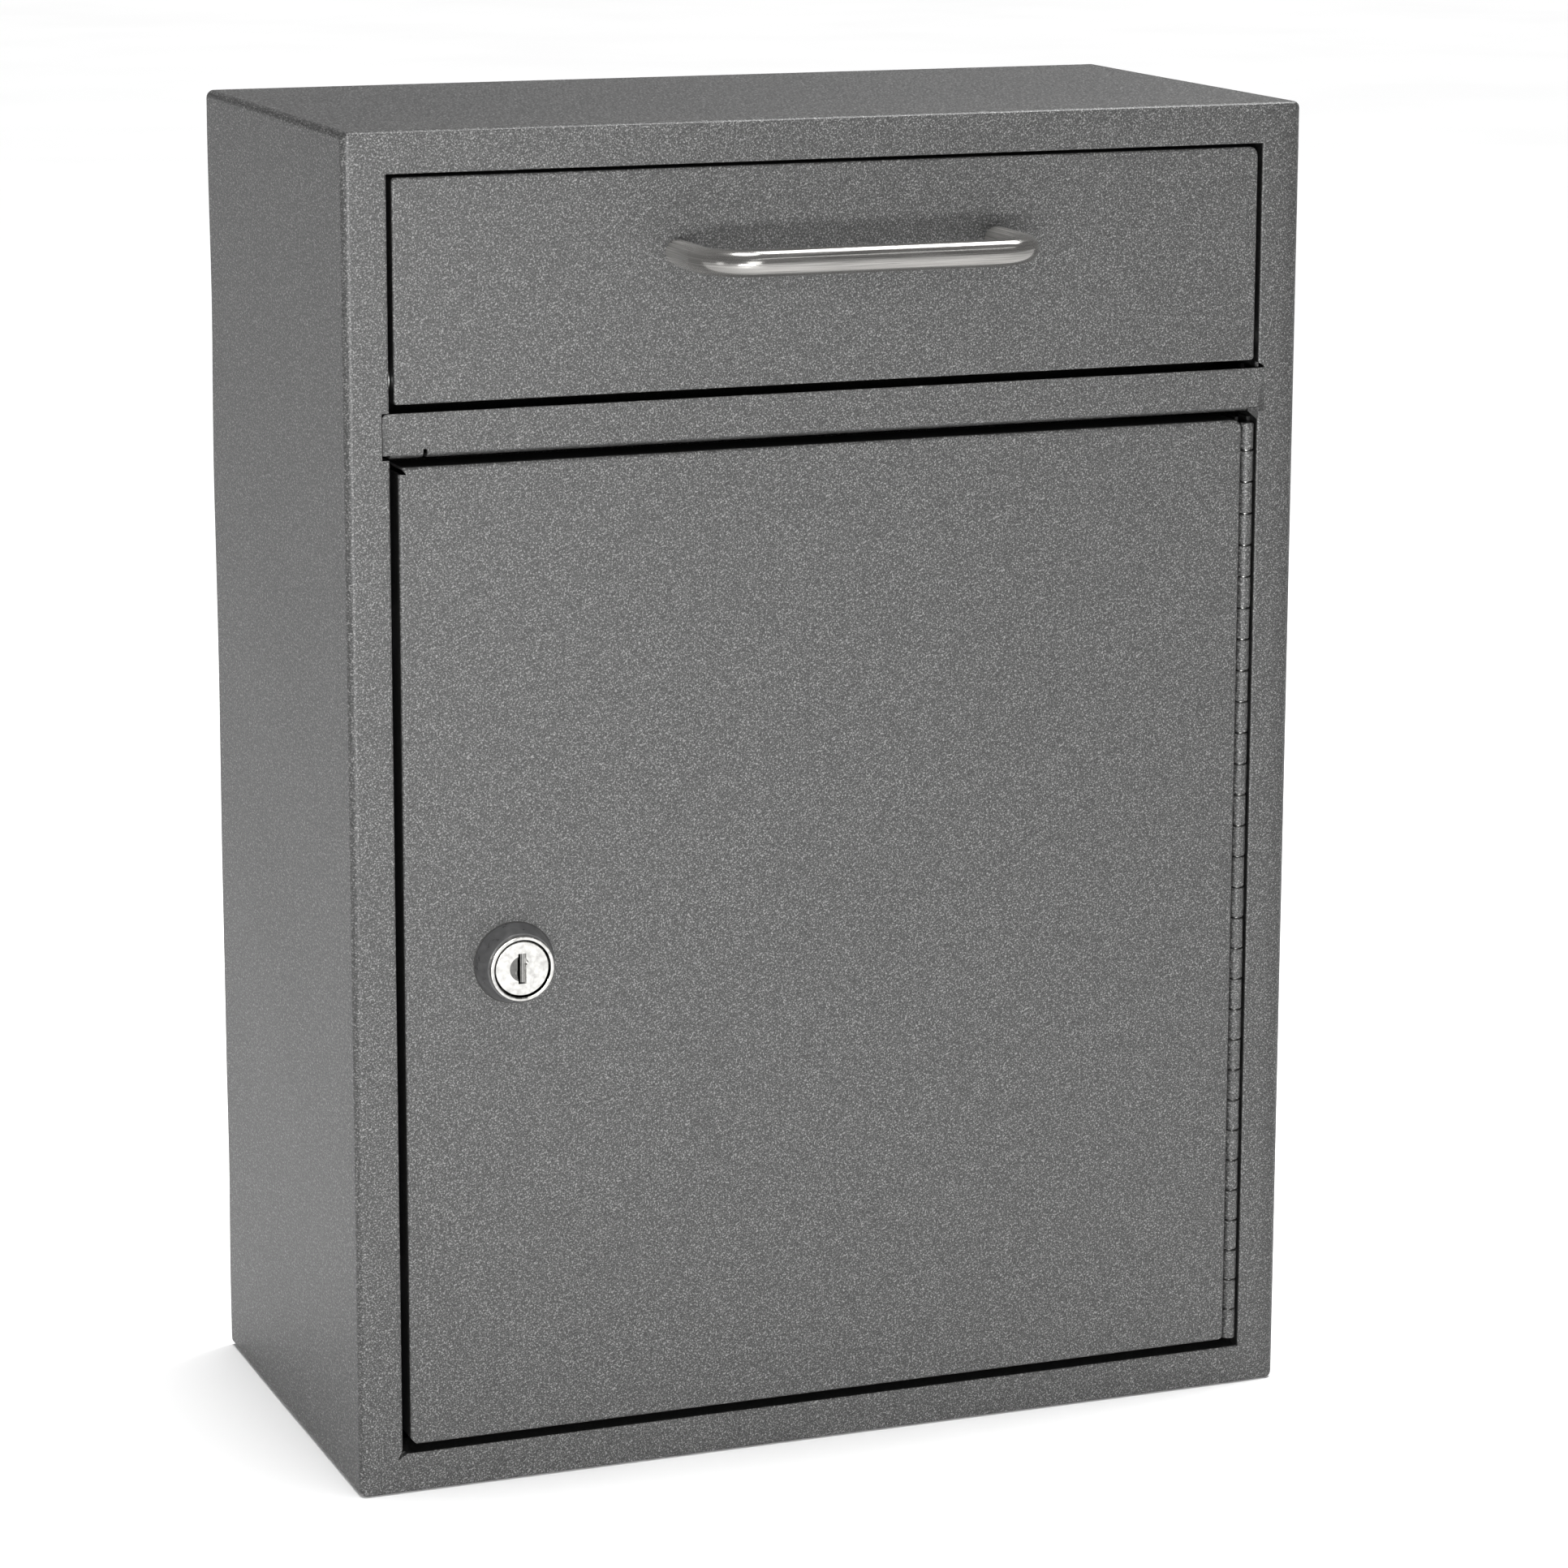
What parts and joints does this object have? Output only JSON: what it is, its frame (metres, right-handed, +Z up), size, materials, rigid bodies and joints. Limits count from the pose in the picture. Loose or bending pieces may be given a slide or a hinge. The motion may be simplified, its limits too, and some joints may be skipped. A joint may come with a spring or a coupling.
{
  "type": "wall drop box",
  "caption": "Wall-mounted sheet-steel drop box with a bottom-hinged pull-down deposit hopper above a side-hinged collection door with a cam lock.",
  "frame": {"origin": "centre of the four wall-mounting holes, on the wall face of the back panel", "axes": "+Y into the wall, so the front faces -Y; +Z up; +X to the right of a person facing the front"},
  "size_m": [0.305, 0.187, 0.41],
  "materials": {
    "paint": "fine-textured charcoal powder coat",
    "stainless": "brushed along the rod",
    "nickel": "bright nickel plate",
    "zinc_steel": "zinc plated",
    "grey_plastic": "satin moulded",
    "rubber": "matte"
  },
  "bodies": {
    "cabinet": {"cabinet_shell": "paint", "back_panel": "paint", "cross_rail": "paint", "chute_guard": "paint", "hopper_stop_tabs": "paint", "hopper_bumpers": "rubber", "door_stop_tabs": "paint", "door_bumpers": "rubber", "hinge_frame_leaf": "paint", "hinge_pin": "zinc_steel", "pivot_pins": "zinc_steel", "pivot_spacers": "zinc_steel"},
    "hopper": {"hopper_panel": "paint", "hopper_tray": "paint", "pull_handle": "stainless", "handle_screws": "zinc_steel", "handle_washers": "zinc_steel"},
    "door": {"door_panel": "paint", "hinge_door_leaf": "paint", "lock_collar": "grey_plastic", "lock_housing": "nickel", "lock_washer": "zinc_steel", "lock_nut": "zinc_steel"},
    "lock_key_plug": {"lock_plug": "nickel", "lock_cam": "zinc_steel", "cam_washer": "zinc_steel", "cam_screw": "zinc_steel"}
  },
  "joints": [
    {"name": "hopper_tilt", "type": "hinge", "parent": "cabinet", "child": "hopper", "pos_m": [0, -0.143, 0.1328], "axis": [1, 0, 0], "range_deg": [0, 45]},
    {"name": "door_swing", "type": "hinge", "parent": "cabinet", "child": "door", "pos_m": [0.1367, -0.1478, 0], "axis": [0, 0, 1], "range_deg": [0, 110]},
    {"name": "lock_turn", "type": "hinge", "parent": "door", "child": "lock_key_plug", "pos_m": [-0.103, -0.15, -0.043], "axis": [0, 1, 0], "range_deg": [0, 90]}
  ]
}
